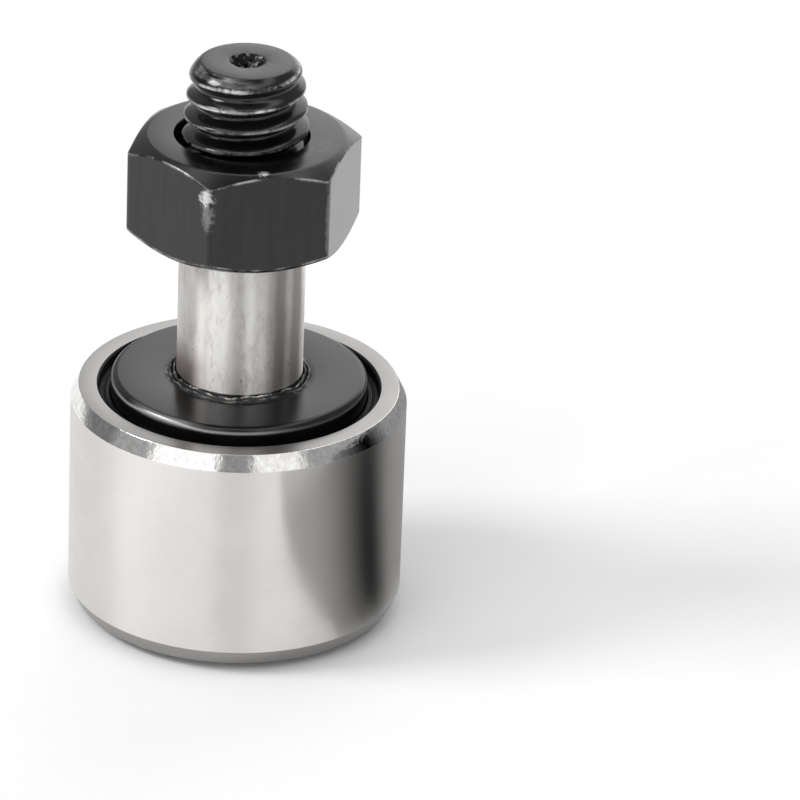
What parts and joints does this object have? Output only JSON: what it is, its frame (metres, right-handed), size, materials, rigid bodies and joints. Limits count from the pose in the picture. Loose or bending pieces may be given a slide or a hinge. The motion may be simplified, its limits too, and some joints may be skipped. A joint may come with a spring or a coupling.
{
  "type": "cam follower",
  "caption": "Stud-type cam follower: a sealed needle roller turns on a stud that carries a round head, a pressed side plate, a ground shank and a threaded end with its hex nut.",
  "frame": {"origin": "centre of the shoulder, the side plate's outer face that a lever is clamped against", "axes": "+Z along the stud towards its threaded end; the roller is on the -Z side; X and Y are free, with a needle on +X"},
  "size_m": [0.016, 0.016, 0.028],
  "materials": {
    "stud_steel": "ground, bright shank with a blackened head and thread",
    "ground_steel": "fine ground, satin",
    "dark_steel": "dark grey oxide, satin",
    "black_oxide": "black oxide, semi-gloss",
    "seal_rubber": "moulded, semi-gloss",
    "cage_steel": "pressed, matt",
    "needle_steel": "lapped, bright"
  },
  "bodies": {
    "stud": {"stud": "stud_steel", "side_plate": "dark_steel"},
    "roller": {"outer_ring": "ground_steel", "seal_stud_side": "seal_rubber", "seal_head_side": "seal_rubber"},
    "cage": {"cage": "cage_steel"},
    "needle_01": {"needle_01": "needle_steel"},
    "needle_02": {"needle_02": "needle_steel"},
    "needle_03": {"needle_03": "needle_steel"},
    "needle_04": {"needle_04": "needle_steel"},
    "needle_05": {"needle_05": "needle_steel"},
    "needle_06": {"needle_06": "needle_steel"},
    "needle_07": {"needle_07": "needle_steel"},
    "needle_08": {"needle_08": "needle_steel"},
    "needle_09": {"needle_09": "needle_steel"},
    "needle_10": {"needle_10": "needle_steel"},
    "needle_11": {"needle_11": "needle_steel"},
    "needle_12": {"needle_12": "needle_steel"},
    "needle_13": {"needle_13": "needle_steel"},
    "needle_14": {"needle_14": "needle_steel"},
    "hex_nut": {"hex_nut": "black_oxide"}
  },
  "joints": [
    {"name": "roller_spin", "type": "hinge", "parent": "stud", "child": "roller", "pos_m": [0, 0, -0.0061], "axis": [0, 0, 1], "continuous": true},
    {"name": "cage_spin", "type": "hinge", "parent": "stud", "child": "cage", "pos_m": [0, 0, -0.00605], "axis": [0, 0, 1], "continuous": true},
    {"name": "needle_01_spin", "type": "hinge", "parent": "cage", "child": "needle_01", "pos_m": [0.00476, 0, -0.00605], "axis": [0, 0, 1], "continuous": true},
    {"name": "needle_02_spin", "type": "hinge", "parent": "cage", "child": "needle_02", "pos_m": [0.00429, 0.00207, -0.00605], "axis": [0, 0, 1], "continuous": true},
    {"name": "needle_03_spin", "type": "hinge", "parent": "cage", "child": "needle_03", "pos_m": [0.00297, 0.00372, -0.00605], "axis": [0, 0, 1], "continuous": true},
    {"name": "needle_04_spin", "type": "hinge", "parent": "cage", "child": "needle_04", "pos_m": [0.00106, 0.00464, -0.00605], "axis": [0, 0, 1], "continuous": true},
    {"name": "needle_05_spin", "type": "hinge", "parent": "cage", "child": "needle_05", "pos_m": [-0.00106, 0.00464, -0.00605], "axis": [0, 0, 1], "continuous": true},
    {"name": "needle_06_spin", "type": "hinge", "parent": "cage", "child": "needle_06", "pos_m": [-0.00297, 0.00372, -0.00605], "axis": [0, 0, 1], "continuous": true},
    {"name": "needle_07_spin", "type": "hinge", "parent": "cage", "child": "needle_07", "pos_m": [-0.00429, 0.00207, -0.00605], "axis": [0, 0, 1], "continuous": true},
    {"name": "needle_08_spin", "type": "hinge", "parent": "cage", "child": "needle_08", "pos_m": [-0.00476, 0, -0.00605], "axis": [0, 0, 1], "continuous": true},
    {"name": "needle_09_spin", "type": "hinge", "parent": "cage", "child": "needle_09", "pos_m": [-0.00429, -0.00207, -0.00605], "axis": [0, 0, 1], "continuous": true},
    {"name": "needle_10_spin", "type": "hinge", "parent": "cage", "child": "needle_10", "pos_m": [-0.00297, -0.00372, -0.00605], "axis": [0, 0, 1], "continuous": true},
    {"name": "needle_11_spin", "type": "hinge", "parent": "cage", "child": "needle_11", "pos_m": [-0.00106, -0.00464, -0.00605], "axis": [0, 0, 1], "continuous": true},
    {"name": "needle_12_spin", "type": "hinge", "parent": "cage", "child": "needle_12", "pos_m": [0.00106, -0.00464, -0.00605], "axis": [0, 0, 1], "continuous": true},
    {"name": "needle_13_spin", "type": "hinge", "parent": "cage", "child": "needle_13", "pos_m": [0.00297, -0.00372, -0.00605], "axis": [0, 0, 1], "continuous": true},
    {"name": "needle_14_spin", "type": "hinge", "parent": "cage", "child": "needle_14", "pos_m": [0.00429, -0.00207, -0.00605], "axis": [0, 0, 1], "continuous": true},
    {"name": "nut_travel", "type": "slide", "parent": "stud", "child": "hex_nut", "axis": [0, 0, 1], "range_m": [0, 0.012]}
  ],
  "couplings": [
    {"joint": "cage_spin", "follows": "roller_spin", "ratio": 0.5798},
    {"joint": "needle_01_spin", "follows": "roller_spin", "ratio": 3.1002},
    {"joint": "needle_02_spin", "follows": "roller_spin", "ratio": 3.1002},
    {"joint": "needle_03_spin", "follows": "roller_spin", "ratio": 3.1002},
    {"joint": "needle_04_spin", "follows": "roller_spin", "ratio": 3.1002},
    {"joint": "needle_05_spin", "follows": "roller_spin", "ratio": 3.1002},
    {"joint": "needle_06_spin", "follows": "roller_spin", "ratio": 3.1002},
    {"joint": "needle_07_spin", "follows": "roller_spin", "ratio": 3.1002},
    {"joint": "needle_08_spin", "follows": "roller_spin", "ratio": 3.1002},
    {"joint": "needle_09_spin", "follows": "roller_spin", "ratio": 3.1002},
    {"joint": "needle_10_spin", "follows": "roller_spin", "ratio": 3.1002},
    {"joint": "needle_11_spin", "follows": "roller_spin", "ratio": 3.1002},
    {"joint": "needle_12_spin", "follows": "roller_spin", "ratio": 3.1002},
    {"joint": "needle_13_spin", "follows": "roller_spin", "ratio": 3.1002},
    {"joint": "needle_14_spin", "follows": "roller_spin", "ratio": 3.1002}
  ]
}
